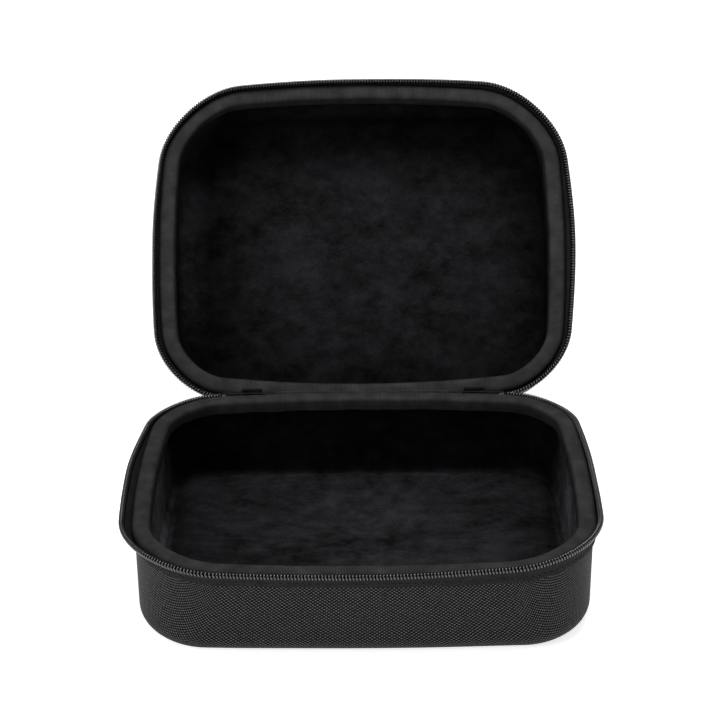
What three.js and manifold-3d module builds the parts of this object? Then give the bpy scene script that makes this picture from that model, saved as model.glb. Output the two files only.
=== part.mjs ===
// Hard-shell carry case for tabletop miniatures, standing open with its lid leaning back.
// Millimetres, +Z up, +X to the case's right, +Y towards the hinge side.
// The origin is the centre of the base's flat underside, on the surface the case stands on.
//
// Base and lid are moulded the same way: a woven outer skin, a pressed foam shell and a plush
// lining, held together at the rim by a binding tape. Half a zipper is sewn round each rim and
// stands out from it. A fabric spine strip joins the two back edges and folds at both of them.

import * as THREE from 'three';
import { mergeVertices } from 'three/addons/utils/BufferGeometryUtils.js';
import Module from 'manifold-3d';

const wasm = await Module();
wasm.setup();

// ---- Driving dimensions -------------------------------------------------------------------

const GAP = 0.3;                  // clearance between neighbouring pieces

const RIM_HALF_WIDTH = 100;       // rim outline, outside the binding, at the middle of each side
const RIM_HALF_DEPTH = 81;
// Corner radii before the sides are bowed, and how far the sides bulge: at the rim, and at the
// foot of a full-height wall. The moulding is squarer at its foot than at its rim.
const FRONT_CORNER = [35, 28];
const BACK_CORNER = [27, 23];
const SIDE_BOW = [5, 3];
const END_BOW = [7, 3];
const CORNER_STEPS = 6;
const SIDE_STEPS = 4;

const BASE_HEIGHT = 44;           // underside to rim
const LID_HEIGHT = 37;            // rim to top
const SIDE_DRAFT = 0.03;          // inward lean of the side walls, per millimetre from the rim
const END_DRAFT = 0.1;            // the same for front and back walls
const EDGE_RADIUS = 9;            // round between wall and floor, outside
const WALL_STEPS = 3;
const EDGE_STEPS = 3;

const BINDING_THICKNESS = 0.8;
const BINDING_LEG = 6.5;          // how far the binding reaches down both sides of the rim
const BINDING_ROUND = 2.5;
const SKIN_THICKNESS = 0.8;
const FOAM_WALL = 3.6;
const FOAM_FLOOR = 2.4;
const LINING_THICKNESS = 0.8;

const BOARD_THICKNESS = 1.3;      // stiff board that keeps the base's floor flat
const BOARD_INSET = 10.8;
const COVER_THICKNESS = 0.6;
const COVER_INSET = 9.6;

const TAPE_THICKNESS = 0.5;
const TAPE_FOOT = [0.7, 5.2];     // tape's sewn edge: outward from the rim, and down from it
const TAPE_EDGE = [3.3, 0.2];     // tape's free edge, beside the coil
const COIL_RADIUS = 1.1;
const COIL_SIDES = 6;
const THREAD_SIZE = 0.5;
const THREAD_SETBACK = 1.0;       // seam's distance from the tape's sewn edge

const SPINE_HALF_LENGTH = 42;
const SPINE_WIDTH = 12;           // between the strip's two fold lines
const SPINE_THICKNESS = 0.9;
const FOLD_OUT = 0.8;             // fold lines lie this far outside the back edge
const FOLD_DROP = 1.0;            // and this far from each rim plane
const SPINE_OPEN = THREE.MathUtils.degToRad(140);
const LID_OPEN = THREE.MathUtils.degToRad(130);

const TAB_LENGTH = 5;             // stitched patch that closes each end of the zipper
const TAB_THICKNESS = 1.0;
const TAIL_LENGTH = 18.4;         // straight end of each half zipper, where the sliders park
const TAIL_WIDTH = 2.4;
const TAIL_COIL_RADIUS = 0.9;
const TAIL_SPREAD = 2.4;          // from the strip's middle to each tail's coil

const SLIDER_LENGTH = 10;
const SLIDER_WIDTH = 8;
const PLATE_THICKNESS = 0.9;
const PLATE_OFFSET = 1.9;         // from the zipper's mid plane to each slider plate
const POST_RADIUS = 1.2;
const LIP = 0.8;                  // turned edge of a slider's outer plate
const SLIDER_PARK = 0.8;          // from the end tab to the parked slider
const BRIDGE_SPAN = 6.6;
const BRIDGE_HEIGHT = 3.0;
const BRIDGE_BAR = 0.9;
const BRIDGE_WIDTH = 1.6;

const PULL_LENGTH = 15;
const PULL_WIDTH = 5;
const PULL_THICKNESS = 1.2;
const PULL_END_RADIUS = 2;
const PULL_SLOT = [3.6, 2.4];     // slot that the slider's bridge passes through: length, width
const PULL_BAR = 1.2;             // bar between the slot and the pull's end
const PULL_LIFT = 0.45;           // clearance that lets the bar turn above the slider
const PULL_HANG = THREE.MathUtils.degToRad(20);

// ---- Insets and depths worked out from them -------------------------------------------------

const SKIN_INSET = BINDING_THICKNESS + GAP;
const FOAM_INSET = SKIN_INSET + SKIN_THICKNESS + GAP;
const LINING_INSET = FOAM_INSET + FOAM_WALL + GAP;
const RIM_WIDTH = LINING_INSET + LINING_THICKNESS + GAP + BINDING_THICKNESS;
const FOAM_TOP = BINDING_THICKNESS + GAP;
const SKIN_TOP = BINDING_ROUND + GAP;
const CAVITY_FLOOR = SKIN_THICKNESS + GAP + FOAM_FLOOR + GAP + LINING_THICKNESS;
const FOLD_Y = RIM_HALF_DEPTH + FOLD_OUT;
const BOARD_FOOT = CAVITY_FLOOR + GAP;
const BASE = -1;                  // the base's body lies below its rim plane
const LID = 1;                    // the lid's body lies above its rim plane, when shut

// ---- Colours ----------------------------------------------------------------------------------

function cloth(colour, roughness = 0.9) {
  return new THREE.MeshStandardMaterial({ color: colour, roughness, metalness: 0 });
}

function metal(colour) {
  return new THREE.MeshStandardMaterial({ color: colour, roughness: 0.4, metalness: 0.9 });
}

const WOVEN_BLACK = 0x1c1c1e;
const FOAM_BLACK = 0x161616;
const PLUSH_BLACK = 0x0d0d10;
const BINDING_GREY = 0x2a2a2b;
const TAPE_BLACK = 0x1a1a1a;
const COIL_BLACK = 0x242424;
const THREAD_BLACK = 0x202020;
const BOARD_BLACK = 0x141414;
const ZINC_BLACK = 0x2b2b2d;

// ---- Rim outline ------------------------------------------------------------------------------

// Round-cornered rectangle, counter-clockwise from the right side, before bowing.
function roundedRectangle(halfX, halfY, frontRadius, backRadius) {
  const quarters = [[1, 1], [-1, 1], [-1, -1], [1, -1]];
  const points = [];
  quarters.forEach(([signX, signY], quarter) => {
    const radius = signY > 0 ? backRadius : frontRadius;
    for (let step = 0; step <= CORNER_STEPS; step += 1) {
      const angle = (quarter + step / CORNER_STEPS) * Math.PI / 2;
      points.push(new THREE.Vector2(
        signX * (halfX - radius) + radius * Math.cos(angle),
        signY * (halfY - radius) + radius * Math.sin(angle),
      ));
    }
  });
  return points;
}

// Adds the points between two corners, evenly along each side.
function withSidePoints(corners) {
  const perCorner = CORNER_STEPS + 1;
  const points = [];
  corners.forEach((point, index) => {
    points.push(point);
    if (index % perCorner === CORNER_STEPS) {
      const next = corners[(index + 1) % corners.length];
      for (let step = 1; step < SIDE_STEPS; step += 1) {
        points.push(point.clone().lerp(next, step / SIDE_STEPS));
      }
    }
  });
  return points;
}

// The case's outline at a distance from the rim plane. Each side bulges outward by a parabola
// that fades to nothing at the corners.
function outlineAt(distance) {
  const part = Math.max(distance, 0) / BASE_HEIGHT;
  const between = ([atRim, atFoot]) => THREE.MathUtils.lerp(atRim, atFoot, part);
  const sideBow = between(SIDE_BOW);
  const endBow = between(END_BOW);
  const halfX = RIM_HALF_WIDTH - SIDE_DRAFT * distance - sideBow;
  const halfY = RIM_HALF_DEPTH - END_DRAFT * distance - endBow;
  const corners = roundedRectangle(halfX, halfY, between(FRONT_CORNER), between(BACK_CORNER));
  return withSidePoints(corners).map((point) => {
    const u = point.x / halfX;
    const v = point.y / halfY;
    return new THREE.Vector2(
      point.x + sideBow * Math.sign(u) * u * u * (1 - v * v),
      point.y + endBow * Math.sign(v) * v * v * (1 - u * u),
    );
  });
}

// Mitre vectors make every offset of the outline run parallel to it, so gaps stay even.
function mitres(points) {
  return points.map((point, index) => {
    const before = points[(index + points.length - 1) % points.length];
    const after = points[(index + 1) % points.length];
    const first = point.clone().sub(before).normalize();
    const second = after.clone().sub(point).normalize();
    const normalA = new THREE.Vector2(first.y, -first.x);
    const normalB = new THREE.Vector2(second.y, -second.x);
    return normalA.clone().add(normalB).divideScalar(1 + normalA.dot(normalB));
  });
}

// One loop of the outline, moved outward (or inward, when negative), at a distance from the rim
// plane. Side says whether the body lies below that plane or above it.
function loopAt(side, distance, outward) {
  const points = outlineAt(distance);
  const directions = mitres(points);
  return points.map((point, index) => new THREE.Vector3(
    point.x + directions[index].x * outward,
    point.y + directions[index].y * outward,
    side * distance,
  ));
}

// The stretch of a loop that carries the zipper: all of it but the spine side's inner points.
function zipperStretch(loop) {
  const backLeftCorner = CORNER_STEPS + SIDE_STEPS;
  return [...loop.slice(backLeftCorner), ...loop.slice(0, CORNER_STEPS + 1)];
}

// ---- Solids from loops --------------------------------------------------------------------------

function geometryFrom(vertices, triangles) {
  const geometry = new THREE.BufferGeometry();
  geometry.setAttribute('position', new THREE.Float32BufferAttribute(vertices, 3));
  geometry.setIndex(triangles);
  return geometry;
}

// Turns a body inside out if its signed volume says that its faces point inward.
function facingOut(vertices, triangles) {
  const corner = (index) => new THREE.Vector3().fromArray(vertices, index * 3);
  let volume = 0;
  for (let i = 0; i < triangles.length; i += 3) {
    const [a, b, c] = [corner(triangles[i]), corner(triangles[i + 1]), corner(triangles[i + 2])];
    volume += a.dot(b.cross(c));
  }
  return volume < 0 ? triangles.reverse() : triangles;
}

// A bowl: loops run from the middle of the outside, over the rim, to the middle of the inside.
// Each quad is split from its corner nearer the rim plane, so that the faces of two layers that
// lie against each other are split alike.
function bowl(loops) {
  const count = loops[0].length;
  const vertices = loops.flat().flatMap((point) => point.toArray());
  const triangles = [];
  for (let row = 0; row + 1 < loops.length; row += 1) {
    const towardRim = Math.abs(loops[row + 1][0].z) < Math.abs(loops[row][0].z);
    for (let i = 0; i < count; i += 1) {
      const j = (i + 1) % count;
      const [a, b] = [row * count + i, row * count + j];
      const [c, d] = [b + count, a + count];
      triangles.push(...(towardRim ? [a, b, d, b, c, d] : [a, b, c, a, c, d]));
    }
  }
  const last = (loops.length - 1) * count;
  for (let i = 1; i + 1 < count; i += 1) {
    triangles.push(0, i + 1, i);
    triangles.push(last, last + i, last + i + 1);
  }
  return geometryFrom(vertices, facingOut(vertices, triangles));
}

// A closed profile carried round the whole outline.
function hoop(loops) {
  const count = loops[0].length;
  const vertices = loops.flat().flatMap((point) => point.toArray());
  const triangles = [];
  loops.forEach((loop, row) => {
    const nextRow = (row + 1) % loops.length;
    for (let i = 0; i < count; i += 1) {
      const j = (i + 1) % count;
      const [a, b] = [row * count + i, row * count + j];
      const [c, d] = [nextRow * count + j, nextRow * count + i];
      triangles.push(a, b, c, a, c, d);
    }
  });
  return geometryFrom(vertices, facingOut(vertices, triangles));
}

// A closed convex profile carried along an open stretch, with flat ends.
function strip(lines) {
  const count = lines[0].length;
  const vertices = lines.flat().flatMap((point) => point.toArray());
  const triangles = [];
  lines.forEach((line, row) => {
    const nextRow = (row + 1) % lines.length;
    for (let i = 0; i + 1 < count; i += 1) {
      const [a, b] = [row * count + i, row * count + i + 1];
      const [c, d] = [nextRow * count + i + 1, nextRow * count + i];
      triangles.push(a, b, c, a, c, d);
    }
  });
  for (let row = 1; row + 1 < lines.length; row += 1) {
    triangles.push(0, row * count, (row + 1) * count);
    triangles.push(count - 1, (row + 2) * count - 1, (row + 1) * count - 1);
  }
  return geometryFrom(vertices, facingOut(vertices, triangles));
}

// ---- Walls ----------------------------------------------------------------------------------------

// Loops down one face of a wall: from its top, down the side, round the edge to the floor.
function wallFace(side, inset, top, depth, radius) {
  const bend = depth - radius;
  const loops = [];
  for (let step = 0; step < WALL_STEPS; step += 1) {
    loops.push(loopAt(side, THREE.MathUtils.lerp(top, bend, step / WALL_STEPS), -inset));
  }
  for (let step = 0; step <= EDGE_STEPS; step += 1) {
    const angle = (step / EDGE_STEPS) * Math.PI / 2;
    const outward = -inset - radius * (1 - Math.cos(angle));
    loops.push(loopAt(side, bend + radius * Math.sin(angle), outward));
  }
  return loops;
}

// A dished layer with an outer and an inner face.
function layer(side, inset, wall, floor, top, depth, radius) {
  const innerRadius = radius - Math.max(wall, floor);
  const outer = wallFace(side, inset, top, depth, radius);
  const inner = wallFace(side, inset + wall, top, depth - floor, innerRadius);
  return bowl([...outer.reverse(), ...inner]);
}

function skinLayer(side, height) {
  return layer(side, SKIN_INSET, SKIN_THICKNESS, SKIN_THICKNESS, SKIN_TOP, height, EDGE_RADIUS);
}

function foamLayer(side, height) {
  const buried = SKIN_THICKNESS + GAP;
  return layer(side, FOAM_INSET, FOAM_WALL, FOAM_FLOOR, FOAM_TOP, height - buried, EDGE_RADIUS - buried);
}

function liningLayer(side, height) {
  const buried = SKIN_THICKNESS + FOAM_FLOOR + 2 * GAP;
  const radius = EDGE_RADIUS - SKIN_THICKNESS - FOAM_WALL - 2 * GAP;
  return layer(side, LINING_INSET, LINING_THICKNESS, LINING_THICKNESS, SKIN_TOP, height - buried, radius);
}

// The binding is a channel with rounded shoulders that sits over the rim of all three layers.
function bindingHoop(side) {
  const t = BINDING_THICKNESS;
  const shoulder = BINDING_ROUND * (1 - Math.SQRT1_2);
  const innerRound = BINDING_ROUND - t;
  const innerShoulder = t + innerRound * (1 - Math.SQRT1_2);
  const half = [[0, BINDING_LEG], [0, BINDING_ROUND], [shoulder, shoulder], [BINDING_ROUND, 0]];
  const innerHalf = [
    [t, BINDING_LEG],
    [t, BINDING_ROUND],
    [innerShoulder, innerShoulder],
    [BINDING_ROUND, t],
  ];
  const mirrored = (points) => points.map(([inset, distance]) => [RIM_WIDTH - inset, distance]);
  const outside = [...half, ...mirrored(half).reverse()];
  const inside = [...mirrored(innerHalf), ...innerHalf.reverse()];
  return hoop([...outside, ...inside].map(([inset, distance]) => loopAt(side, distance, -inset)));
}

// ---- Half zippers ---------------------------------------------------------------------------------

const TAPE_RUN = new THREE.Vector2(TAPE_EDGE[0] - TAPE_FOOT[0], TAPE_FOOT[1] - TAPE_EDGE[1]).normalize();
const TAPE_NORMAL = new THREE.Vector2(TAPE_RUN.y, -TAPE_RUN.x);

// A point beside the tape: how far along it from its sewn edge, and how far off its mid plane.
function besideTape(along, off) {
  const outward = TAPE_FOOT[0] + TAPE_RUN.x * along + TAPE_NORMAL.x * off;
  const up = -TAPE_FOOT[1] + TAPE_RUN.y * along + TAPE_NORMAL.y * off;
  return [outward, up];
}

// Carries a list of profile points along the zipper's stretch of the rim.
function alongZipper(side, profile) {
  return strip(profile.map(([outward, up]) => zipperStretch(loopAt(side, -up, outward))));
}

function zipperTape(side) {
  const length = Math.hypot(TAPE_EDGE[0] - TAPE_FOOT[0], TAPE_FOOT[1] - TAPE_EDGE[1]);
  const half = TAPE_THICKNESS / 2;
  const corners = [[0, -half], [length, -half], [length, half], [0, half]];
  return alongZipper(side, corners.map(([along, off]) => besideTape(along, off)));
}

function zipperCoil(side) {
  const length = Math.hypot(TAPE_EDGE[0] - TAPE_FOOT[0], TAPE_FOOT[1] - TAPE_EDGE[1]);
  const [outward, up] = besideTape(length + GAP + COIL_RADIUS, 0);
  const profile = Array.from({ length: COIL_SIDES }, (_, index) => {
    const angle = (index / COIL_SIDES) * 2 * Math.PI;
    return [outward + COIL_RADIUS * Math.cos(angle), up + COIL_RADIUS * Math.sin(angle)];
  });
  return alongZipper(side, profile);
}

function seamThread(side) {
  const near = TAPE_THICKNESS / 2 + GAP;
  const far = near + THREAD_SIZE;
  const start = THREAD_SETBACK;
  const end = THREAD_SETBACK + THREAD_SIZE;
  const corners = [[start, near], [end, near], [end, far], [start, far]];
  return alongZipper(side, corners.map(([along, off]) => besideTape(along, off)));
}

// ---- Floor board ------------------------------------------------------------------------------------

// A loop at a height above the case's underside, in the base's rim-plane frame.
function loopAbove(height, inset) {
  return loopAt(BASE, BASE_HEIGHT - height, -inset);
}

function floorBoard() {
  return bowl([
    loopAbove(BOARD_FOOT, BOARD_INSET),
    loopAbove(BOARD_FOOT + BOARD_THICKNESS, BOARD_INSET),
  ]);
}

// A plush cap over the board's top and edges, open underneath.
function boardCover() {
  const under = BOARD_FOOT + BOARD_THICKNESS + GAP;
  const foot = BOARD_FOOT + GAP * 2;
  const inner = COVER_INSET + COVER_THICKNESS;
  return bowl([
    loopAbove(under + COVER_THICKNESS, COVER_INSET),
    loopAbove(foot, COVER_INSET),
    loopAbove(foot, inner),
    loopAbove(under, inner),
  ]);
}

// ---- Spine ---------------------------------------------------------------------------------------------

// Local frame of the spine: z runs from the base's fold line to the lid's, y points outside.
function block(sizeX, sizeY, sizeZ, x, y, z) {
  const geometry = new THREE.BoxGeometry(sizeX, sizeY, sizeZ);
  geometry.translate(x, y, z);
  return geometry;
}

function spineStrip() {
  const width = SPINE_WIDTH - 2 * FOLD_OUT;
  return block(2 * SPINE_HALF_LENGTH, SPINE_THICKNESS, width, 0, 0, SPINE_WIDTH / 2);
}

const TAIL_START = SPINE_HALF_LENGTH + TAB_LENGTH + 2 * GAP;

// One straight tail: a narrow tape with the last of its coil along the edge nearest the middle.
function zipperTail(hand, edge) {
  const x = hand * (TAIL_START + TAIL_LENGTH / 2);
  const middle = SPINE_WIDTH / 2 + edge * TAIL_SPREAD;
  const coil = new THREE.CylinderGeometry(TAIL_COIL_RADIUS, TAIL_COIL_RADIUS, TAIL_LENGTH, COIL_SIDES);
  coil.rotateZ(Math.PI / 2);
  coil.translate(x, 0, middle);
  const tape = block(TAIL_LENGTH, TAPE_THICKNESS, TAIL_WIDTH, x, 0, middle + edge * TAIL_WIDTH / 2);
  return joined([coil, tape]);
}

function endTab(hand) {
  const x = hand * (SPINE_HALF_LENGTH + GAP + TAB_LENGTH / 2);
  const width = SPINE_WIDTH - 4 * FOLD_OUT;
  return block(TAB_LENGTH, TAB_THICKNESS, width, x, 0, SPINE_WIDTH / 2);
}

// ---- Sliders and pulls --------------------------------------------------------------------------------

function toManifold(geometry) {
  const bare = new THREE.BufferGeometry();
  bare.setAttribute('position', geometry.getAttribute('position'));
  if (geometry.index) bare.setIndex(geometry.index);
  const merged = mergeVertices(bare);
  const mesh = new wasm.Mesh({
    numProp: 3,
    vertProperties: new Float32Array(merged.getAttribute('position').array),
    triVerts: new Uint32Array(merged.index.array),
  });
  return new wasm.Manifold(mesh);
}

function fromManifold(solid) {
  const mesh = solid.getMesh();
  return geometryFrom(Array.from(mesh.vertProperties), Array.from(mesh.triVerts));
}

function joined(pieces) {
  return fromManifold(pieces.map(toManifold).reduce((whole, piece) => whole.add(piece)));
}

// A plate with rounded corners, standing from y = low to y = low + thickness.
function roundedPlate(length, width, radius, low, thickness, hole) {
  const shape = new THREE.Shape();
  const [x, z] = [length / 2, width / 2];
  shape.absarc(x - radius, z - radius, radius, 0, Math.PI / 2);
  shape.absarc(-x + radius, z - radius, radius, Math.PI / 2, Math.PI);
  shape.absarc(-x + radius, -z + radius, radius, Math.PI, 1.5 * Math.PI);
  shape.absarc(x - radius, -z + radius, radius, 1.5 * Math.PI, 2 * Math.PI);
  shape.closePath();
  if (hole) shape.holes.push(hole);
  const geometry = new THREE.ExtrudeGeometry(shape, {
    depth: thickness,
    bevelEnabled: false,
    curveSegments: 3,
  });
  geometry.rotateX(Math.PI / 2);
  geometry.translate(0, low + thickness, 0);
  return geometry;
}

// Two plates joined by a post at the mouth, lips along both edges, and a bridge for the pull.
function sliderBody(hand) {
  const outer = PLATE_OFFSET;
  const inner = -PLATE_OFFSET - PLATE_THICKNESS;
  const post = new THREE.CylinderGeometry(POST_RADIUS, POST_RADIUS, 2 * PLATE_OFFSET + PLATE_THICKNESS, 8);
  post.translate(hand * (SLIDER_LENGTH / 2 - 2 * POST_RADIUS), 0, 0);
  const lips = [-1, 1].map((edge) => block(
    SLIDER_LENGTH - 4 * POST_RADIUS, LIP + PLATE_THICKNESS / 2, LIP,
    0, outer - LIP / 2 + PLATE_THICKNESS / 4, edge * (SLIDER_WIDTH - LIP) / 2,
  ));
  const top = outer + PLATE_THICKNESS;
  const feet = [-1, 1].map((end) => block(
    BRIDGE_BAR, BRIDGE_HEIGHT + PLATE_THICKNESS / 2, BRIDGE_WIDTH,
    end * (BRIDGE_SPAN - BRIDGE_BAR) / 2, top + BRIDGE_HEIGHT / 2 - PLATE_THICKNESS / 4, 0,
  ));
  const bar = block(BRIDGE_SPAN, BRIDGE_BAR, BRIDGE_WIDTH, 0, top + BRIDGE_HEIGHT - BRIDGE_BAR / 2, 0);
  return joined([
    roundedPlate(SLIDER_LENGTH, SLIDER_WIDTH, 2, outer, PLATE_THICKNESS),
    roundedPlate(SLIDER_LENGTH, SLIDER_WIDTH, 2, inner, PLATE_THICKNESS),
    post, ...lips, ...feet, bar,
  ]);
}

// The pull's pivot bar is centred on the local origin; the tab points away from the spine.
function pullTab(hand) {
  const [slotLength, slotWidth] = PULL_SLOT;
  const middle = hand * (PULL_LENGTH / 2 - PULL_BAR / 2);
  const slotMiddle = hand * (PULL_BAR + slotLength) / 2 - middle;
  const hole = new THREE.Path();
  hole.moveTo(slotMiddle - slotLength / 2, -slotWidth / 2);
  hole.lineTo(slotMiddle - slotLength / 2, slotWidth / 2);
  hole.lineTo(slotMiddle + slotLength / 2, slotWidth / 2);
  hole.lineTo(slotMiddle + slotLength / 2, -slotWidth / 2);
  hole.closePath();
  const geometry = roundedPlate(
    PULL_LENGTH, PULL_WIDTH, PULL_END_RADIUS, -PULL_THICKNESS / 2, PULL_THICKNESS, hole,
  );
  geometry.translate(middle, 0, 0);
  return fromManifold(toManifold(geometry));
}

// ---- Assembly -----------------------------------------------------------------------------------------

function piece(name, geometry, material) {
  const mesh = new THREE.Mesh(geometry, material);
  mesh.name = name;
  return mesh;
}

// The seven pieces that base and lid have in common, around a rim plane at local z = 0.
function half(name, side, height) {
  const group = new THREE.Group();
  group.add(
    piece(`${name}_outer_skin`, skinLayer(side, height), cloth(WOVEN_BLACK, 0.8)),
    piece(`${name}_foam_shell`, foamLayer(side, height), cloth(FOAM_BLACK)),
    piece(`${name}_lining`, liningLayer(side, height), cloth(PLUSH_BLACK, 1)),
    piece(`${name}_rim_binding`, bindingHoop(side), cloth(BINDING_GREY)),
    piece(`${name}_zipper_tape`, zipperTape(side), cloth(TAPE_BLACK)),
    piece(`${name}_zipper_coil`, zipperCoil(side), cloth(COIL_BLACK, 0.4)),
    piece(`${name}_seam_thread`, seamThread(side), cloth(THREAD_BLACK)),
  );
  return group;
}

function baseAssembly() {
  const base = half('base', BASE, BASE_HEIGHT);
  base.position.z = BASE_HEIGHT;
  base.add(
    piece('floor_board', floorBoard(), cloth(BOARD_BLACK, 0.7)),
    piece('floor_board_cover', boardCover(), cloth(PLUSH_BLACK, 1)),
  );
  return base;
}

function sliderAssembly(handName, hand) {
  const group = new THREE.Group();
  group.position.set(hand * (TAIL_START + SLIDER_PARK + SLIDER_LENGTH / 2), 0, SPINE_WIDTH / 2);
  const pull = piece(`pull_${handName}`, pullTab(hand), metal(ZINC_BLACK));
  pull.position.y = PLATE_OFFSET + PLATE_THICKNESS + PULL_LIFT + PULL_THICKNESS / 2;
  pull.rotation.z = hand * PULL_HANG;
  group.add(piece(`slider_${handName}`, sliderBody(hand), metal(ZINC_BLACK)), pull);
  return group;
}

function lidAssembly() {
  const lid = half('lid', LID, LID_HEIGHT);
  lid.position.set(0, -FOLD_Y, -FOLD_DROP);
  const hinge = new THREE.Group();
  hinge.position.z = SPINE_WIDTH;
  hinge.rotation.x = SPINE_OPEN - LID_OPEN;
  hinge.add(lid);
  return hinge;
}

function spineAssembly() {
  const spine = new THREE.Group();
  spine.position.set(0, FOLD_Y, BASE_HEIGHT - FOLD_DROP);
  spine.rotation.x = -SPINE_OPEN;
  spine.add(piece('spine_strip', spineStrip(), cloth(BINDING_GREY)), lidAssembly());
  [['left', -1], ['right', 1]].forEach(([handName, hand]) => {
    spine.add(piece(`zipper_end_tab_${handName}`, endTab(hand), cloth(TAPE_BLACK)));
    spine.add(piece(`zipper_tail_lower_${handName}`, zipperTail(hand, -1), cloth(COIL_BLACK, 0.4)));
    spine.add(piece(`zipper_tail_upper_${handName}`, zipperTail(hand, 1), cloth(COIL_BLACK, 0.4)));
    spine.add(sliderAssembly(handName, hand));
  });
  return spine;
}

const carryCase = new THREE.Group();
carryCase.add(baseAssembly(), spineAssembly());

export default carryCase;
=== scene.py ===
import math

import bmesh
import bpy
import numpy as np
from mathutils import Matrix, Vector, noise


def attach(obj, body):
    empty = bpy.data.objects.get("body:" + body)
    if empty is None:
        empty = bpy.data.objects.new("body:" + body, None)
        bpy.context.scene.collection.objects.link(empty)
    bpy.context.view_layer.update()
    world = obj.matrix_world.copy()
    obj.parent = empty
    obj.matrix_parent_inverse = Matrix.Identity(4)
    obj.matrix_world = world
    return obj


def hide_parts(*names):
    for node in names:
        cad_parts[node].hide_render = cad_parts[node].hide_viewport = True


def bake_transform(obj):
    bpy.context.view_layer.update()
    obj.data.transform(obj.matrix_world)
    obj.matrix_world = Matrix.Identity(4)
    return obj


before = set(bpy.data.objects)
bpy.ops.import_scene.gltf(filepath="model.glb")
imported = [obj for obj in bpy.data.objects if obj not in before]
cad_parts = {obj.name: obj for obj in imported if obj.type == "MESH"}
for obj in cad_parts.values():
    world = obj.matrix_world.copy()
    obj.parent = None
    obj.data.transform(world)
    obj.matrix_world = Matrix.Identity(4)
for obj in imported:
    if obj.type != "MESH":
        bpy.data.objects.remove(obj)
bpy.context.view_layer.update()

# Carry case for tabletop miniatures: the looks. Lengths are in millimetres until a mesh is made,
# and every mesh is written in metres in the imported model's frame.

MM = 0.001

# ---- Sizes shared with the CAD model ------------------------------------------------------------

RIM_HALF_WIDTH = 100
RIM_HALF_DEPTH = 81
FRONT_CORNER = (35, 28)           # at the rim, and at the foot of a full-height wall
BACK_CORNER = (27, 23)
SIDE_BOW = (5, 3)
END_BOW = (7, 3)
BASE_HEIGHT = 44
LID_HEIGHT = 37
SIDE_DRAFT = 0.03
END_DRAFT = 0.1
EDGE_RADIUS = 9
BINDING_THICKNESS = 0.8
BINDING_LEG = 6.5
BINDING_ROUND = 2.5
SKIN_INSET = 1.1
SKIN_THICKNESS = 0.8
SKIN_TOP = 2.8
LINING_INSET = 6.1
LINING_THICKNESS = 0.8
LINING_DEPTH = 3.8                # from the outside of the floor to the lining's back
RIM_WIDTH = 8.0
FOLD_OUT = 0.8
FOLD_DROP = 1.0
SPINE_WIDTH = 12
SPINE_HALF_LENGTH = 42
SPINE_OPEN = math.radians(140)
LID_OPEN = math.radians(130)
FOLD_Y = RIM_HALF_DEPTH + FOLD_OUT
TAPE_FOOT = (-0.3, 6.9)           # outward from the rim's edge, and down from the rim
TAPE_KNEE = (0.1, 2.6)            # where the tape starts to leave the wall
TAPE_LENGTH = 9.0                 # from the tape's foot to the coil's centre, along the tape
TAPE_THICKNESS = 0.5
ZIPPER_START = 68                 # along the back, from its middle to where the zipper starts
TAIL_START = 47.6
TAIL_LENGTH = 18.4
TAIL_SPREAD = 2.4
TAB_START = 42.3
TAB_LENGTH = 5
PAD_TOP = 7.1                     # the floor pad's top and bottom, above the underside
PAD_BOTTOM = 5.5
PAD_INSET = 9.6


# ---- Rim outline --------------------------------------------------------------------------------

def outline_at(drop):
    """The outline a depth below the rim, from the middle of the back, anticlockwise from above."""
    part = drop / BASE_HEIGHT
    side_bow, end_bow, front, back = (
        a + (b - a) * part for a, b in (SIDE_BOW, END_BOW, FRONT_CORNER, BACK_CORNER))
    half_x = RIM_HALF_WIDTH - SIDE_DRAFT * drop - side_bow
    half_y = RIM_HALF_DEPTH - END_DRAFT * drop - end_bow
    steps = 60
    corners = []
    for quarter, (sign_x, sign_y) in enumerate([(1, 1), (-1, 1), (-1, -1), (1, -1)]):
        radius = back if sign_y > 0 else front
        angle = (quarter + np.linspace(0, 1, steps)) * math.pi / 2
        x = sign_x * (half_x - radius) + radius * np.cos(angle)
        y = sign_y * (half_y - radius) + radius * np.sin(angle)
        corners.append(np.stack([x, y], axis=1))
    points = []
    for index, corner in enumerate(corners):
        after = corners[(index + 1) % 4][0]
        points.append(corner)
        points.append(corner[-1] + np.linspace(0, 1, steps + 1)[1:-1, None] * (after - corner[-1]))
    points = np.concatenate(points)
    u = points[:, 0] / half_x
    v = points[:, 1] / half_y
    x = points[:, 0] + side_bow * np.sign(u) * u * u * (1 - v * v)
    y = points[:, 1] + end_bow * np.sign(v) * v * v * (1 - u * u)
    start = np.argmin(np.where(y > 0, np.abs(x), 1e9))
    points = np.roll(np.stack([x, y], axis=1), -start, axis=0)
    return np.concatenate([points, points[:1]])


def outward_normals(outline):
    """Unit normals of a closed outline whose last point repeats its first."""
    around = np.concatenate([outline[-3:-1], outline, outline[1:3]])
    tangent = around[4:] - around[:-4]
    tangent /= np.linalg.norm(tangent, axis=1, keepdims=True)
    return np.stack([tangent[:, 1], -tangent[:, 0]], axis=1)


LEVELS = 12
OUTLINES = np.array([outline_at(drop) for drop in np.linspace(0, BASE_HEIGHT, LEVELS)])
NORMALS = np.array([outward_normals(outline) for outline in OUTLINES])
ARC = np.concatenate([[0], np.cumsum(np.linalg.norm(np.diff(OUTLINES[0], axis=0), axis=1))])
RIM_LENGTH = ARC[-1]


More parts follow.
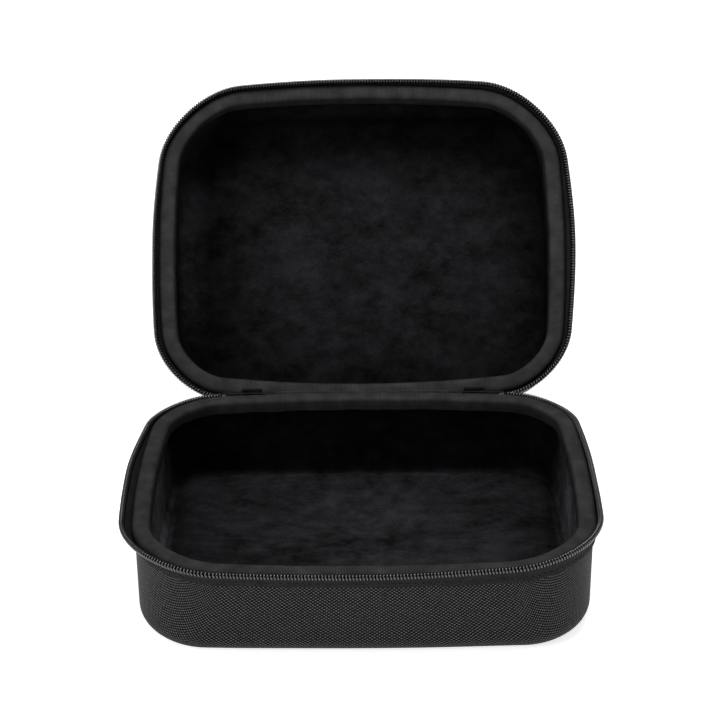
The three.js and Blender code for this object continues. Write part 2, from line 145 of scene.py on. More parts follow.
def rim_at(s, drop=0.0):
    """Places and outward normals of the outline at arc lengths s along the rim."""
    place = np.interp(np.mod(s, RIM_LENGTH), ARC, np.arange(len(ARC)))
    column = np.minimum(place.astype(int), len(ARC) - 2)
    across = (place - column)[..., None]
    level = np.broadcast_to(np.clip(drop, 0, BASE_HEIGHT) / BASE_HEIGHT * (LEVELS - 1), place.shape)
    row = np.minimum(level.astype(int), LEVELS - 2)
    down = (level - row)[..., None]

    def sample(grid):
        upper = grid[row, column] * (1 - across) + grid[row, column + 1] * across
        lower = grid[row + 1, column] * (1 - across) + grid[row + 1, column + 1] * across
        return upper * (1 - down) + lower * down

    return sample(OUTLINES), sample(NORMALS)


def rim_point(s, outward, drop):
    """Half-local points: x, y and the depth below the rim plane."""
    point, normal = rim_at(s, drop)
    xy = point + normal * np.broadcast_to(outward, s.shape)[..., None]
    return np.concatenate([xy, np.broadcast_to(drop, s.shape)[..., None]], axis=-1)


# ---- Where base, spine and lid stand at rest ----------------------------------------------------

def turned(points, angle):
    """Points turned about X."""
    c, s = math.cos(angle), math.sin(angle)
    x, y, z = points[..., 0], points[..., 1], points[..., 2]
    return np.stack([x, y * c - z * s, y * s + z * c], axis=-1)


def spine_to_row(points):
    """Spine-local points (y outward, z from the base's fold to the lid's) in the row frame."""
    return turned(points, -SPINE_OPEN) + np.array([0, FOLD_Y, BASE_HEIGHT - FOLD_DROP])


def base_to_row(points):
    return points * np.array([1, 1, -1]) + np.array([0, 0, BASE_HEIGHT])


def lid_to_row(points):
    hinge = turned(points - np.array([0, FOLD_Y, FOLD_DROP]), SPINE_OPEN - LID_OPEN)
    return spine_to_row(hinge + np.array([0, 0, SPINE_WIDTH]))


HALVES = {
    "base": {"height": BASE_HEIGHT, "to_row": base_to_row, "fold": SPINE_OPEN},
    "lid": {"height": LID_HEIGHT, "to_row": lid_to_row, "fold": LID_OPEN - SPINE_OPEN},
}


# ---- Mesh building ------------------------------------------------------------------------------

def loft(rings, uvs, wrap_rows=False, wrap_cols=True):
    """A grid of rings as faces with a texture place for each face corner."""
    rows, cols = rings.shape[:2]
    faces, corners = [], []
    for r in range(rows if wrap_rows else rows - 1):
        for c in range(cols if wrap_cols else cols - 1):
            cells = [(r, c), (r, c + 1), (r + 1, c + 1), (r + 1, c)]
            faces.append([(i % rows) * cols + j % cols for i, j in cells])
            corners.append([uvs[i][j] for i, j in cells])
    return rings.reshape(-1, 3), faces, corners


def fan(verts, faces, corners, ring_start, cols, centre, uv_ring, uv_centre):
    """Closes a ring with triangles that meet at one point."""
    verts = np.concatenate([verts, np.asarray(centre, float)[None]])
    last = len(verts) - 1
    for c in range(cols):
        faces.append([ring_start + c, ring_start + (c + 1) % cols, last])
        corners.append([uv_ring[c], uv_ring[(c + 1) % cols], uv_centre])
    return verts


def make(name, verts, faces, corners, body, material, replaces=(), smooth=True):
    """One object from points in millimetres, riding on its body."""
    mesh = bpy.data.meshes.new(name)
    mesh.from_pydata([tuple(v) for v in np.asarray(verts) * MM], [], faces)
    if corners is not None:
        layer = mesh.uv_layers.new(name="cloth")
        layer.data.foreach_set("uv", np.asarray([uv for face in corners for uv in face], float).ravel())
    work = bmesh.new()
    work.from_mesh(mesh)
    bmesh.ops.recalc_face_normals(work, faces=work.faces)
    work.to_mesh(mesh)
    work.free()
    mesh.polygons.foreach_set("use_smooth", [smooth] * len(mesh.polygons))
    mesh.materials.append(material)
    obj = bpy.data.objects.new(name, mesh)
    bpy.context.scene.collection.objects.link(obj)
    if body:
        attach(obj, body)
    if replaces:
        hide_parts(*replaces)
    return obj


# One noise field for each axis. The noise module's own vector noise is seeded by the clock.
NOISE_OFFSETS = [Vector((9.3, -1.5, -8.0)), Vector((-6.2, 4.7, 2.9)), Vector((3.1, 7.7, -5.4))]


def ruffled(points, amount, size, seed):
    """Points moved a little by smooth noise, so that cloth isn't perfectly even."""
    shift = Vector((seed, 2 * seed, 3 * seed))
    places = [Vector(p) / size + shift for p in points.reshape(-1, 3)]
    moves = [[noise.noise(place + offset) for offset in NOISE_OFFSETS] for place in places]
    return points + amount * np.asarray(moves).reshape(points.shape)


# ---- Materials ----------------------------------------------------------------------------------

class Nodes:
    """Short names for building one node material."""

    def __init__(self, name):
        self.material = bpy.data.materials.new(name)
        self.material.use_nodes = True
        self.tree = self.material.node_tree
        self.shader = self.tree.nodes["Principled BSDF"]

    def add(self, kind, **settings):
        node = self.tree.nodes.new("ShaderNode" + kind)
        for key, value in settings.items():
            setattr(node, key, value)
        return node

    def put(self, value, socket):
        if isinstance(value, bpy.types.NodeSocket):
            self.tree.links.new(value, socket)
        else:
            socket.default_value = value

    def math(self, operation, a, b=0.0, c=0.0):
        node = self.add("Math", operation=operation)
        for value, socket in zip((a, b, c), node.inputs):
            self.put(value, socket)
        return node.outputs[0]

    def uv(self):
        parts = self.add("SeparateXYZ")
        self.tree.links.new(self.add("UVMap", uv_map="cloth").outputs[0], parts.inputs[0])
        return parts.outputs[0], parts.outputs[1]

    def place(self, stretch=(1, 1, 1)):
        mapping = self.add("Mapping")
        mapping.inputs["Scale"].default_value = stretch
        self.tree.links.new(self.add("TexCoord").outputs["Object"], mapping.inputs[0])
        return mapping.outputs[0]

    def noise(self, size, detail=3.0, stretch=(1, 1, 1), roughness=0.5):
        """Noise with features about size millimetres across."""
        node = self.add("TexNoise")
        self.tree.links.new(self.place(stretch), node.inputs["Vector"])
        node.inputs["Scale"].default_value = 1 / (size * MM)
        node.inputs["Detail"].default_value = detail
        node.inputs["Roughness"].default_value = roughness
        return node.outputs["Fac"]

    def ramp(self, value, stops):
        node = self.add("ValToRGB")
        self.put(value, node.inputs[0])
        while len(node.color_ramp.elements) < len(stops):
            node.color_ramp.elements.new(0.5)
        for element, (position, colour) in zip(node.color_ramp.elements, stops):
            element.position = position
            rgb = colour if isinstance(colour, tuple) else (colour,) * 3
            element.color = (*rgb, 1)
        return node.outputs[0]

    def mix(self, factor, a, b, blend="MIX"):
        node = self.add("Mix", data_type="RGBA", blend_type=blend)
        self.put(factor, node.inputs[0])
        for value, index in ((a, 6), (b, 7)):
            if isinstance(value, tuple):
                value = (*value, 1)
            self.put(value, node.inputs[index])
        return node.outputs[2]

    def bump(self, height, strength, distance, normal=None):
        node = self.add("Bump")
        self.put(height, node.inputs["Height"])
        node.inputs["Strength"].default_value = strength
        node.inputs["Distance"].default_value = distance * MM
        if normal:
            self.tree.links.new(normal, node.inputs["Normal"])
        return node.outputs[0]

    def finish(self, colour, roughness, normal=None, **sockets):
        self.put(colour, self.shader.inputs["Base Color"])
        self.put(roughness, self.shader.inputs["Roughness"])
        if normal:
            self.tree.links.new(normal, self.shader.inputs["Normal"])
        for key, value in sockets.items():
            self.shader.inputs[key.replace("_", " ")].default_value = value
        return self.material


def grey(level, blue=0.0):
    return (level, level, level * (1 + blue))


def shell_cloth():
    """Coarse plain weave of thick shiny yarns: staggered floats with a painted highlight on each crown,
    and painted shade between them.
    """
    n = Nodes("shell_cloth")
    u, v = n.uv()
    float_pitch, row_pitch = 2.11, 0.78
    wander = n.noise(9, 2)
    row_place = n.math("ADD", n.math("DIVIDE", v, row_pitch), n.math("MULTIPLY", wander, 0.9))
    row = n.math("FLOOR", row_place)
    shift = n.math("MULTIPLY", n.math("PINGPONG", row, 1.0), 0.5)
    column_place = n.math("ADD", n.math("DIVIDE", u, float_pitch), shift)
    across = n.math("SUBTRACT", n.math("FRACT", column_place), 0.5)
    along = n.math("SUBTRACT", n.math("FRACT", row_place), 0.5)
    oval = n.math("ADD", n.math("POWER", n.math("DIVIDE", across, 0.34), 2.0),
                  n.math("POWER", n.math("DIVIDE", along, 0.56), 2.0))
    crown = n.math("MAXIMUM", n.math("SUBTRACT", 1.0, oval), 0.0)
    fleck = n.noise(1.1, 2)
    # Painted highlight: the colour is paler on each float's crown, standing in for the light the floats
    # catch, and near black between the floats as painted shade.
    painted_highlight = n.math("MULTIPLY", crown, n.math("ADD", 0.55, n.math("MULTIPLY", fleck, 0.9)))
    colour = n.ramp(painted_highlight, [(0.0, grey(0.0004)), (0.3, grey(0.0035)), (1.0, grey(0.09))])
    rough = n.math("SUBTRACT", 0.62, n.math("MULTIPLY", crown, 0.2))
    fuzz = n.bump(n.noise(0.35, 2), 0.15, 0.1)
    normal = n.bump(crown, 0.8, 0.22, fuzz)
    return n.finish(colour, rough, normal, Specular_IOR_Level=0.05)


def binding_cloth():
    """Charcoal tape with fine ribs across its length, with painted shade down its legs."""
    n = Nodes("binding_cloth")
    u, v = n.uv()
    rib_pitch = 0.62
    ribs = n.math("SINE", n.math("MULTIPLY", u, 2 * math.pi / rib_pitch))
    ribs = n.math("ADD", n.math("MULTIPLY", ribs, 0.5), 0.5)
    cloud = n.noise(7, 3, (1, 1, 1))
    tone = n.math("ADD", n.math("MULTIPLY", ribs, 0.45), n.math("MULTIPLY", cloud, 0.75))
    colour = n.ramp(tone, [(0.15, grey(0.006)), (0.6, grey(0.018)), (1.0, grey(0.042))])
    # Painted shade across the rim: palest over the rim's top, darker at the foot of the outer leg and
    # darkest down the inner leg.
    over_rim = n.math("ADD", n.math("DIVIDE", v, 20.0), n.math("MULTIPLY", n.noise(12, 2), 0.03))
    painted_shade = n.ramp(over_rim, [(0.1, grey(0.8)), (0.35, grey(1.0)), (0.64, grey(1.05)), (0.72, grey(0.5)),
                              (0.78, grey(0.7)), (0.95, grey(0.55))])
    colour = n.mix(1.0, colour, painted_shade, "MULTIPLY")
    fuzz = n.bump(n.noise(0.3, 2), 0.25, 0.12)
    normal = n.bump(ribs, 0.55, 0.12, fuzz)
    return n.finish(colour, 0.85, normal, Specular_IOR_Level=0.05)


def tape_cloth():
    """Zipper tape: narrow herringbone columns."""
    n = Nodes("tape_cloth")
    u, v = n.uv()
    column, twill = 1.5, 0.8
    zigzag = n.math("PINGPONG", n.math("DIVIDE", v, column), 1.0)
    phase = n.math("ADD", n.math("DIVIDE", u, twill), n.math("MULTIPLY", zigzag, 1.6))
    yarn = n.math("SINE", n.math("MULTIPLY", phase, 2 * math.pi))
    yarn = n.math("ADD", n.math("MULTIPLY", yarn, 0.5), 0.5)
    tone = n.math("ADD", n.math("MULTIPLY", yarn, 0.7), n.math("MULTIPLY", n.noise(3, 2), 0.4))
    colour = n.ramp(tone, [(0.1, grey(0.001)), (0.6, grey(0.008)), (1.0, grey(0.028))])
    normal = n.bump(yarn, 0.7, 0.14, n.bump(n.noise(0.3, 2), 0.2, 0.1))
    return n.finish(colour, 0.75, normal, Specular_IOR_Level=0.05)


# Painted sheen and shade on the plush, as factors by the square of the place over the rim's half-sizes:
# across from the middle to the sides, then from the middle to front and back. Each floor ends near 0.75.
# The middle of each floor is painted paler, standing in for the nap's sheen. The walls, and the floor
# towards them, are painted darker as shade. side_wall is a painted light on the side walls, and shift
# moves the lid's paler middle sideways.
PLUSH_SHEEN_AND_SHADE = {
    "base": {
        "level": 0.0155, "wall": 0.0036, "side_wall": 0.052, "shift": 0,
        "across": [(0.0, 1.0), (0.35, 0.75), (0.66, 0.42), (0.78, 0.0)],
        "along": [(0.0, 1.0), (0.68, 0.85), (0.76, 0.0)],
    },
    "lid": {
        "level": 0.0122, "wall": 0.0034, "side_wall": 0.008, "shift": -9,
        "across": [(0.0, 1.0), (0.3, 0.75), (0.7, 0.15), (0.8, 0.0)],
        "along": [(0.0, 1.0), (0.3, 0.75), (0.7, 0.2), (0.8, 0.0), (1.0, 0.45)],
    },
}


def plush_cloth(name, half):
    """Short nap brushed into soft cloudy patches, with painted shade darkening the walls and a painted
    sheen paler across the floor.
    """
    n = Nodes(name)
    sheen_and_shade = PLUSH_SHEEN_AND_SHADE[half]
    patches = n.noise(30, 5, (0.8, 1, 1), 0.65)
    blotches = n.noise(7, 5, (0.8, 1, 1), 0.75)
    fibres = n.noise(0.6, 2)
    tone = n.math("ADD", n.math("MULTIPLY", patches, 0.5), n.math("MULTIPLY", blotches, 0.5))
    cloud = n.ramp(tone, [(0.38, grey(0.3, 0.05)), (0.5, grey(0.85, 0.1)), (0.62, grey(1.45, 0.12))])
    u, v = n.uv()
    # Painted sheen and shade: paler over the middle of each floor, darker towards the walls and up them.
    wide = n.math("POWER", n.math("DIVIDE", n.math("ADD", u, sheen_and_shade["shift"]), RIM_HALF_WIDTH), 2.0)
    deep = n.math("POWER", n.math("DIVIDE", v, RIM_HALF_DEPTH), 2.0)
    floor = n.mix(1.0, n.ramp(wide, sheen_and_shade["across"]), n.ramp(deep, sheen_and_shade["along"]), "MULTIPLY")
    level = n.mix(floor, grey(sheen_and_shade["wall"]), grey(sheen_and_shade["level"]))
    # Painted light on the side walls, fading towards the back.
    beside = n.mix(1.0, n.ramp(wide, [(0.74, 0.0), (0.9, sheen_and_shade["side_wall"])]),
                   n.ramp(n.math("DIVIDE", v, RIM_HALF_DEPTH), [(0.15, 1.0), (0.75, 0.0)]), "MULTIPLY")
    colour = n.mix(1.0, cloud, n.mix(1.0, level, beside, "ADD"), "MULTIPLY")
    colour = n.mix(0.6, colour, n.ramp(fibres, [(0.3, grey(0.3)), (0.7, grey(1.0))]), "MULTIPLY")
    nap = n.bump(patches, 0.4, 1.0, n.bump(blotches, 0.5, 0.5, n.bump(fibres, 0.5, 0.25)))
    return n.finish(colour, 1.0, nap, Specular_IOR_Level=0.01)


def coil_nylon():
    n = Nodes("coil_nylon")
    tone = n.noise(2.5, 2)
    colour = n.ramp(tone, [(0.3, grey(0.001)), (0.7, grey(0.004))])
    rough = n.math("ADD", 0.08, n.math("MULTIPLY", tone, 0.14))
    return n.finish(colour, rough, n.bump(n.noise(0.4, 2), 0.1, 0.05), Specular_IOR_Level=0.75)


def thread_yarn():
    n = Nodes("thread_yarn")
    twist = n.noise(0.35, 2)
    colour = n.ramp(twist, [(0.3, grey(0.005)), (0.7, grey(0.02))])
    return n.finish(colour, 0.6, n.bump(twist, 0.4, 0.1), Specular_IOR_Level=0.15)


def foam_plastic():
    n = Nodes("foam_plastic")
    cells = n.noise(0.8, 3)
    return n.finish(n.ramp(cells, [(0.3, grey(0.008)), (0.7, grey(0.02))]), 0.85, n.bump(cells, 0.4, 0.2))


def board_plastic():
    n = Nodes("board_plastic")
    grain = n.noise(1.5, 3)
    return n.finish(n.ramp(grain, [(0.3, grey(0.008)), (0.7, grey(0.016))]), 0.6, n.bump(grain, 0.2, 0.1))


def slider_lacquer():
    """Black lacquer over cast zinc, a little worn."""
    n = Nodes("slider_lacquer")
    wear = n.noise(1.8, 4)
    colour = n.ramp(wear, [(0.35, grey(0.001)), (0.6, grey(0.003)), (0.8, grey(0.012))])
    rough = n.math("ADD", 0.5, n.math("MULTIPLY", wear, 0.3))
    return n.finish(colour, rough, n.bump(n.noise(0.5, 2), 0.1, 0.05), Specular_IOR_Level=0.06)


def cord_yarn():
    """The dull black filler inside the coils."""
    n = Nodes("cord_yarn")
    twist = n.noise(0.5, 2)
    return n.finish(n.ramp(twist, [(0.3, grey(0.001)), (0.7, grey(0.004))]), 0.9, n.bump(twist, 0.3, 0.1),
                    Specular_IOR_Level=0.02)


SHELL = shell_cloth()
BINDING = binding_cloth()
TAPE = tape_cloth()
PLUSH = {half: plush_cloth(f"{half}_plush", half) for half in HALVES}
COIL = coil_nylon()
THREAD = thread_yarn()
FOAM = foam_plastic()
BOARD = board_plastic()
LACQUER = slider_lacquer()
CORD = cord_yarn()


# ---- Shells and linings -------------------------------------------------------------------------

RIM_SAMPLES = 288


def wall_rows(inset, top, depth, radius, wall_steps, edge_steps):
    """(outward, drop) from the top of a wall, round its edge, to the start of the floor."""
    bend = depth - radius             # where the wall starts to turn into the floor
    rows = [(-inset, drop) for drop in np.linspace(top, bend, wall_steps)]
    for angle in np.linspace(0, math.pi / 2, edge_steps + 1)[1:]:
        rows.append((-inset - radius * (1 - math.cos(angle)), bend + radius * math.sin(angle)))
    return rows


def bowl_side(rows, floor_rings):
    """Rings from the rim down and across the floor, with the cloth laid flat as texture places."""
    s = np.linspace(0, RIM_LENGTH, RIM_SAMPLES, endpoint=False)
    edge = rim_point(s, *rows[-1])
    _, normal = rim_at(s, rows[-1][1])
    steps = [0] + [math.dist(a, b) for a, b in zip(rows, rows[1:])]
    run = sum(steps)
    rings, uvs = [], []
    travelled = 0
    for (outward, drop), step in zip(rows, steps):
        travelled += step
        rings.append(rim_point(s, outward, drop))
        uvs.append(edge[:, :2] + normal * (run - travelled))
    for t in np.linspace(1, 0, floor_rings + 1)[1:-1]:
        rings.append(edge * [t, t, 1])
        uvs.append(edge[:, :2] * t)
    return np.array(rings), np.array(uvs)


def dished_sheet(name, half, outer_rows, inner_rows, material, replaces,
                 floor_rings, ruffle, ruffle_size, seed):
    """A closed dished sheet with an outer and an inner face, kept above the underside."""
    outer, outer_uv = bowl_side(outer_rows, floor_rings)
    inner, inner_uv = bowl_side(inner_rows, floor_rings)
    rings = np.concatenate([outer[::-1], inner])
    uvs = np.concatenate([outer_uv[::-1], inner_uv])
    rings = ruffled(rings, ruffle, ruffle_size, seed)
    uvs_wrapped = np.concatenate([uvs, uvs[:, :1]], axis=1)
    verts, faces, corners = loft(rings, uvs_wrapped)
    cols = rings.shape[1]
    last_row = (rings.shape[0] - 1) * cols
    verts = fan(verts, faces, corners, 0, cols, rings[0].mean(axis=0), uvs[0], (0, 0))
    verts = fan(verts, faces, corners, last_row, cols, rings[-1].mean(axis=0), uvs[-1], (0, 0))
    verts[:, 2] = np.minimum(verts[:, 2], HALVES[half]["height"])
    place = HALVES[half]["to_row"]
    return make(name, place(verts), faces, corners, half, material, replaces)


def shell(half):
    height = HALVES[half]["height"]
    outer = wall_rows(SKIN_INSET, SKIN_TOP, height, EDGE_RADIUS, wall_steps=14, edge_steps=9)
    inner = wall_rows(SKIN_INSET + SKIN_THICKNESS, SKIN_TOP, height - SKIN_THICKNESS,
                      EDGE_RADIUS - SKIN_THICKNESS, wall_steps=4, edge_steps=4)
    return dished_sheet(f"{half}_woven_shell", half, outer, inner, SHELL,
                        [f"{half}_outer_skin"], floor_rings=8, ruffle=0.12, ruffle_size=30, seed=3)


def lining(half, bottom_round):
    depth = HALVES[half]["height"] - LINING_DEPTH
    inner = wall_rows(LINING_INSET + LINING_THICKNESS, SKIN_TOP, depth - LINING_THICKNESS,
                      bottom_round, wall_steps=16, edge_steps=8)
    outer = wall_rows(LINING_INSET, SKIN_TOP, depth, bottom_round + LINING_THICKNESS,
                      wall_steps=4, edge_steps=4)
    return dished_sheet(f"{half}_plush_lining", half, outer, inner, PLUSH[half],
                        [f"{half}_lining"], floor_rings=14, ruffle=0.25, ruffle_size=14, seed=7)


def floor_pad():
    """The loose pad on the base's floor: a board in plush, with soft edges and an uneven nap."""
    s = np.linspace(0, RIM_LENGTH, RIM_SAMPLES, endpoint=False)
    bottom, top = BASE_HEIGHT - PAD_BOTTOM, BASE_HEIGHT - PAD_TOP
    edge = -PAD_INSET
    floor_rings = 26
    rows = [(edge - 1.6, bottom), (edge - 0.4, bottom - 0.2), (edge, (bottom + top) / 2),
            (edge - 0.3, top + 0.35), (edge - 1.4, top + 0.05), (edge - 3.5, top)]
    rings = [rim_point(s, outward, drop) for outward, drop in rows]
    for t in np.linspace(1, 0, floor_rings)[1:-1]:
        rings.append(rings[len(rows) - 1] * [t, t, 1])
    rings = np.array(rings)
    on_top = rings[..., 2] < bottom - 0.5
    soft = ruffled(rings, 0.35, 11, 5)
    rings[..., 2] = np.where(on_top, soft[..., 2], rings[..., 2])
    uvs = rings[..., :2]
    uvs = np.concatenate([uvs, uvs[:, :1]], axis=1)
    verts, faces, corners = loft(rings, uvs)
    cols = rings.shape[1]
    last_row = (rings.shape[0] - 1) * cols
    verts = fan(verts, faces, corners, last_row, cols, rings[-1].mean(axis=0), uvs[-1], (0, 0))
    verts = fan(verts, faces, corners, 0, cols, (0, 0, bottom), uvs[0], (0, 0))
    obj = make("floor_pad", base_to_row(verts), faces, corners, "base", PLUSH["base"],
               ["floor_board_cover"])
    return obj


# ---- Rim binding --------------------------------------------------------------------------------

def binding_profile():
    """(outward, drop, looseness) round the channel: outer face first, then back inside it."""
    t, r = BINDING_THICKNESS, BINDING_ROUND
    bend = r - t
    angles = np.linspace(0, math.pi / 2, 6)
    face = [(0, d, 0) for d in (BINDING_LEG, 5.0, 3.5)]
    face += [(-r * (1 - math.cos(a)), r * (1 - math.sin(a)), 0) for a in angles]
    face += [(-RIM_WIDTH / 2, -0.12, 0)]
    face += [(-RIM_WIDTH + r * (1 - math.sin(a)), r * (1 - math.cos(a)), 0.1) for a in angles]
    face += [(-RIM_WIDTH, d, loose) for d, loose in ((3.6, 0.3), (4.7, 0.6), (5.6, 1.0), (6.1, 1.0))]
    back = [(-RIM_WIDTH + t, d, loose) for d, loose in ((6.0, 1.0), (4.7, 0.4))]
    back += [(-RIM_WIDTH + t + bend * (1 - math.sin(a)), t + bend * (1 - math.cos(a)), 0)
             for a in angles[::-1]]
    back += [(-t - bend * (1 - math.cos(a)), t + bend * (1 - math.sin(a)), 0)
             for a in angles[::-1]]
    back += [(-t, BINDING_LEG, 0)]
    return face + back


def rim_binding(half, seed):
    """Ribbed tape folded over the rim. Its inner edge is slack, and waves a little."""
    samples = 520
    wave_circle = 9                   # a bigger circle through the noise gives more waves
    s = np.linspace(0, RIM_LENGTH, samples, endpoint=False)
    angle = 2 * math.pi * s / RIM_LENGTH
    around = [Vector((math.cos(a) * wave_circle, math.sin(a) * wave_circle, seed)) for a in angle]
    wave = np.array([noise.noise(p) for p in around])
    ripple = np.array([noise.noise(p * 4) for p in around])
    rings, uvs = [], []
    travelled = 0
    profile = binding_profile()
    for index, (outward, drop, loose) in enumerate(profile):
        if index:
            travelled += math.dist(profile[index - 1][:2], (outward, drop))
        sideways = outward + loose * (0.22 * wave + 0.12 * ripple)
        lower = drop + loose * (0.55 * wave + 0.2 * ripple)
        rings.append(rim_point(s, sideways, lower))
        uvs.append(np.stack([s, np.full(samples, travelled)], axis=1))
    rings = np.array(rings)
    uvs = np.array(uvs)
    end = uvs[:, :1].copy()
    end[..., 0] = RIM_LENGTH
    uvs = np.concatenate([uvs, end], axis=1)
    uvs = np.concatenate([uvs, uvs[-1:] + np.array([0, 1.0])])
    verts, faces, corners = loft(rings, uvs, wrap_rows=True)
    return make(f"{half}_binding", HALVES[half]["to_row"](verts), faces, corners, half,
                BINDING, [f"{half}_rim_binding"])


# ---- Zippers ------------------------------------------------------------------------------------

# Each coil's place beside the rim, every eighth of the way round from the back's middle:
# outward from the rim's edge, and up from the rim.
COIL_PLACES = {
    "base": [(0.9, -1.4), (0.9, -1.2), (3.6, 1.1), (4.1, 0.9),
             (3.9, 1.0), (2.1, 1.5), (0.6, 1.6), (0.6, -1.0)],
    "lid": [(1.5, 0.2), (2.6, 1.2), (1.9, 1.7), (0.2, 1.8),
            (0.4, 1.8), (1.8, 1.7), (3.7, 1.1), (2.2, 1.2)],
}
COIL_PITCH = 1.37
COIL_REACH = 1.15                 # half the coil's width along the tape
COIL_DEPTH = 1.0
WIRE = 0.36
TURN_POINTS = 12
ZIPPER_SAMPLES = 420
CORD_REACH = 0.95                 # the cord inside the coil: half its width and half its depth
CORD_DEPTH = 0.62


def coil_place(half, s):
    """Where the coil runs beside the rim, as (outward, drop)."""
    point, _ = rim_at(s)
    bearing = np.degrees(np.arctan2(point[:, 1] / RIM_HALF_DEPTH, point[:, 0] / RIM_HALF_WIDTH))
    eighths = np.mod(bearing - 90, 360) / 45
    low = np.floor(eighths).astype(int) % 8
    part = (eighths - np.floor(eighths))[:, None]
    ease = part * part * (3 - 2 * part)
    places = np.array(COIL_PLACES[half]) * [1, -1]
    return places[low] * (1 - ease) + places[(low + 1) % 8] * ease


def tape_place(half, s, along, off):
    """A point beside the tape: along from its foot towards the coil, and off its middle plane."""
    foot = np.array(TAPE_FOOT)
    knee = np.array(TAPE_KNEE)
    coil = coil_place(half, s)
    t = along / TAPE_LENGTH
    place = foot * (1 - t) ** 2 + knee * 2 * t * (1 - t) + coil * t * t
    run = (knee - foot) * (1 - t) + (coil - knee) * t
    run /= np.linalg.norm(run, axis=1, keepdims=True)
    place = place + off * np.stack([-run[:, 1], run[:, 0]], axis=1)
    return rim_point(s, place[:, 0], place[:, 1])


def tape_run(half, s):
    """The tape's direction at the coil, as (outward, drop)."""
    run = coil_place(half, s) - np.array(TAPE_KNEE)
    return run / np.linalg.norm(run, axis=1, keepdims=True)


def coil_axes(half, s):
    """The coil's centre, and the directions across it: along the tape, and square to the tape."""
    centre = tape_place(half, s, TAPE_LENGTH, 0)
    run = tape_run(half, s)
    _, normal = rim_at(s)
    reach = np.concatenate([normal * run[:, :1], run[:, 1:]], axis=1)
    depth = np.concatenate([-normal * run[:, 1:], run[:, :1]], axis=1)
    return centre, reach, depth


def zipper_range():
    return np.linspace(ZIPPER_START, RIM_LENGTH - ZIPPER_START, ZIPPER_SAMPLES)


def end_faces(faces, corners, rows, cols, uvs):
    """Closes the two ends of a strip whose rows wrap round."""
    for c in (0, cols - 1):
        faces.append([r * cols + c for r in range(rows)])
        corners.append([uvs[r][c] for r in range(rows)])


def zipper_tape(half):
    """The tape from its sewn foot to the coil's near side."""
    s = zipper_range()
    half_thick = TAPE_THICKNESS / 2
    stations = [0, 1.1, 2.2, 3.3, 4.4, 5.5, 6.6, 7.6, 8.5]
    rings = [tape_place(half, s, along, half_thick) for along in stations]
    rings += [tape_place(half, s, along, -half_thick) for along in stations[::-1]]
    run = stations + [2 * stations[-1] + TAPE_THICKNESS - along for along in stations[::-1]]
    run.append(run[-1] + TAPE_THICKNESS)
    uvs = [np.stack([s, np.full(ZIPPER_SAMPLES, v)], axis=1) for v in run]
    verts, faces, corners = loft(np.array(rings), uvs, wrap_rows=True, wrap_cols=False)
    end_faces(faces, corners, len(rings), ZIPPER_SAMPLES, uvs)
    return make(f"{half}_tape", HALVES[half]["to_row"](verts), faces, corners, half,
                TAPE, [f"{half}_zipper_tape"])


def wound_coil(centre, reach, depth, turn_angle, sides=5):
    """A wire wound about a path: centre, two directions across it, and the angle at each point.

    The wire is thickest at the coil's outer side, where the teeth mesh.
    """
    c, s = np.cos(turn_angle)[:, None], np.sin(turn_angle)[:, None]
    path = centre + COIL_REACH * c * reach + COIL_DEPTH * s * depth
    radial = COIL_DEPTH * c * reach + COIL_REACH * s * depth
    radial /= np.linalg.norm(radial, axis=1, keepdims=True)
    tangent = np.gradient(path, axis=0)
    tangent /= np.linalg.norm(tangent, axis=1, keepdims=True)
    side = np.cross(tangent, radial)
    side /= np.linalg.norm(side, axis=1, keepdims=True)
    swell = WIRE * (1 + 0.3 * np.clip(c, 0, 1) ** 4)
    rings = []
    for phase in np.arange(sides) * 2 * math.pi / sides:
        rings.append(path + swell * (math.cos(phase) * radial + 1.25 * math.sin(phase) * side))
    return np.array(rings)


def coil_object(name, rings, body, replaces, place):
    count = rings.shape[1]
    flat = np.zeros((rings.shape[0] + 1, count, 2))
    verts, faces, corners = loft(rings, flat, wrap_rows=True, wrap_cols=False)
    end_faces(faces, corners, rings.shape[0], count, flat)
    return make(name, place(verts), faces, corners, body, COIL, replaces)


def zipper_coil(half):
    turns = int((RIM_LENGTH - 2 * ZIPPER_START) / COIL_PITCH)
    angle = np.linspace(0, 2 * math.pi * turns, turns * TURN_POINTS)
    s = ZIPPER_START + COIL_PITCH * angle / (2 * math.pi)
    rings = wound_coil(*coil_axes(half, s), angle)
    return coil_object(f"{half}_coil", rings, half, [f"{half}_zipper_coil"], HALVES[half]["to_row"])


def coil_cord(half):
    """The filler cord that runs through the coil."""
    sides = 8
    side_width = 0.8
    s = zipper_range()
    centre, reach, depth = coil_axes(half, s)
    rings = []
    for angle in np.arange(sides) * 2 * math.pi / sides:
        across = CORD_REACH * math.cos(angle) * reach
        rings.append(centre + across + CORD_DEPTH * math.sin(angle) * depth)
    uvs = [np.stack([s, np.full(ZIPPER_SAMPLES, side_width * side)], axis=1)
           for side in range(sides + 1)]
    verts, faces, corners = loft(np.array(rings), uvs, wrap_rows=True, wrap_cols=False)
    end_faces(faces, corners, sides, ZIPPER_SAMPLES, uvs)
    return make(f"{half}_coil_cord", HALVES[half]["to_row"](verts), faces, corners, half,
                CORD)


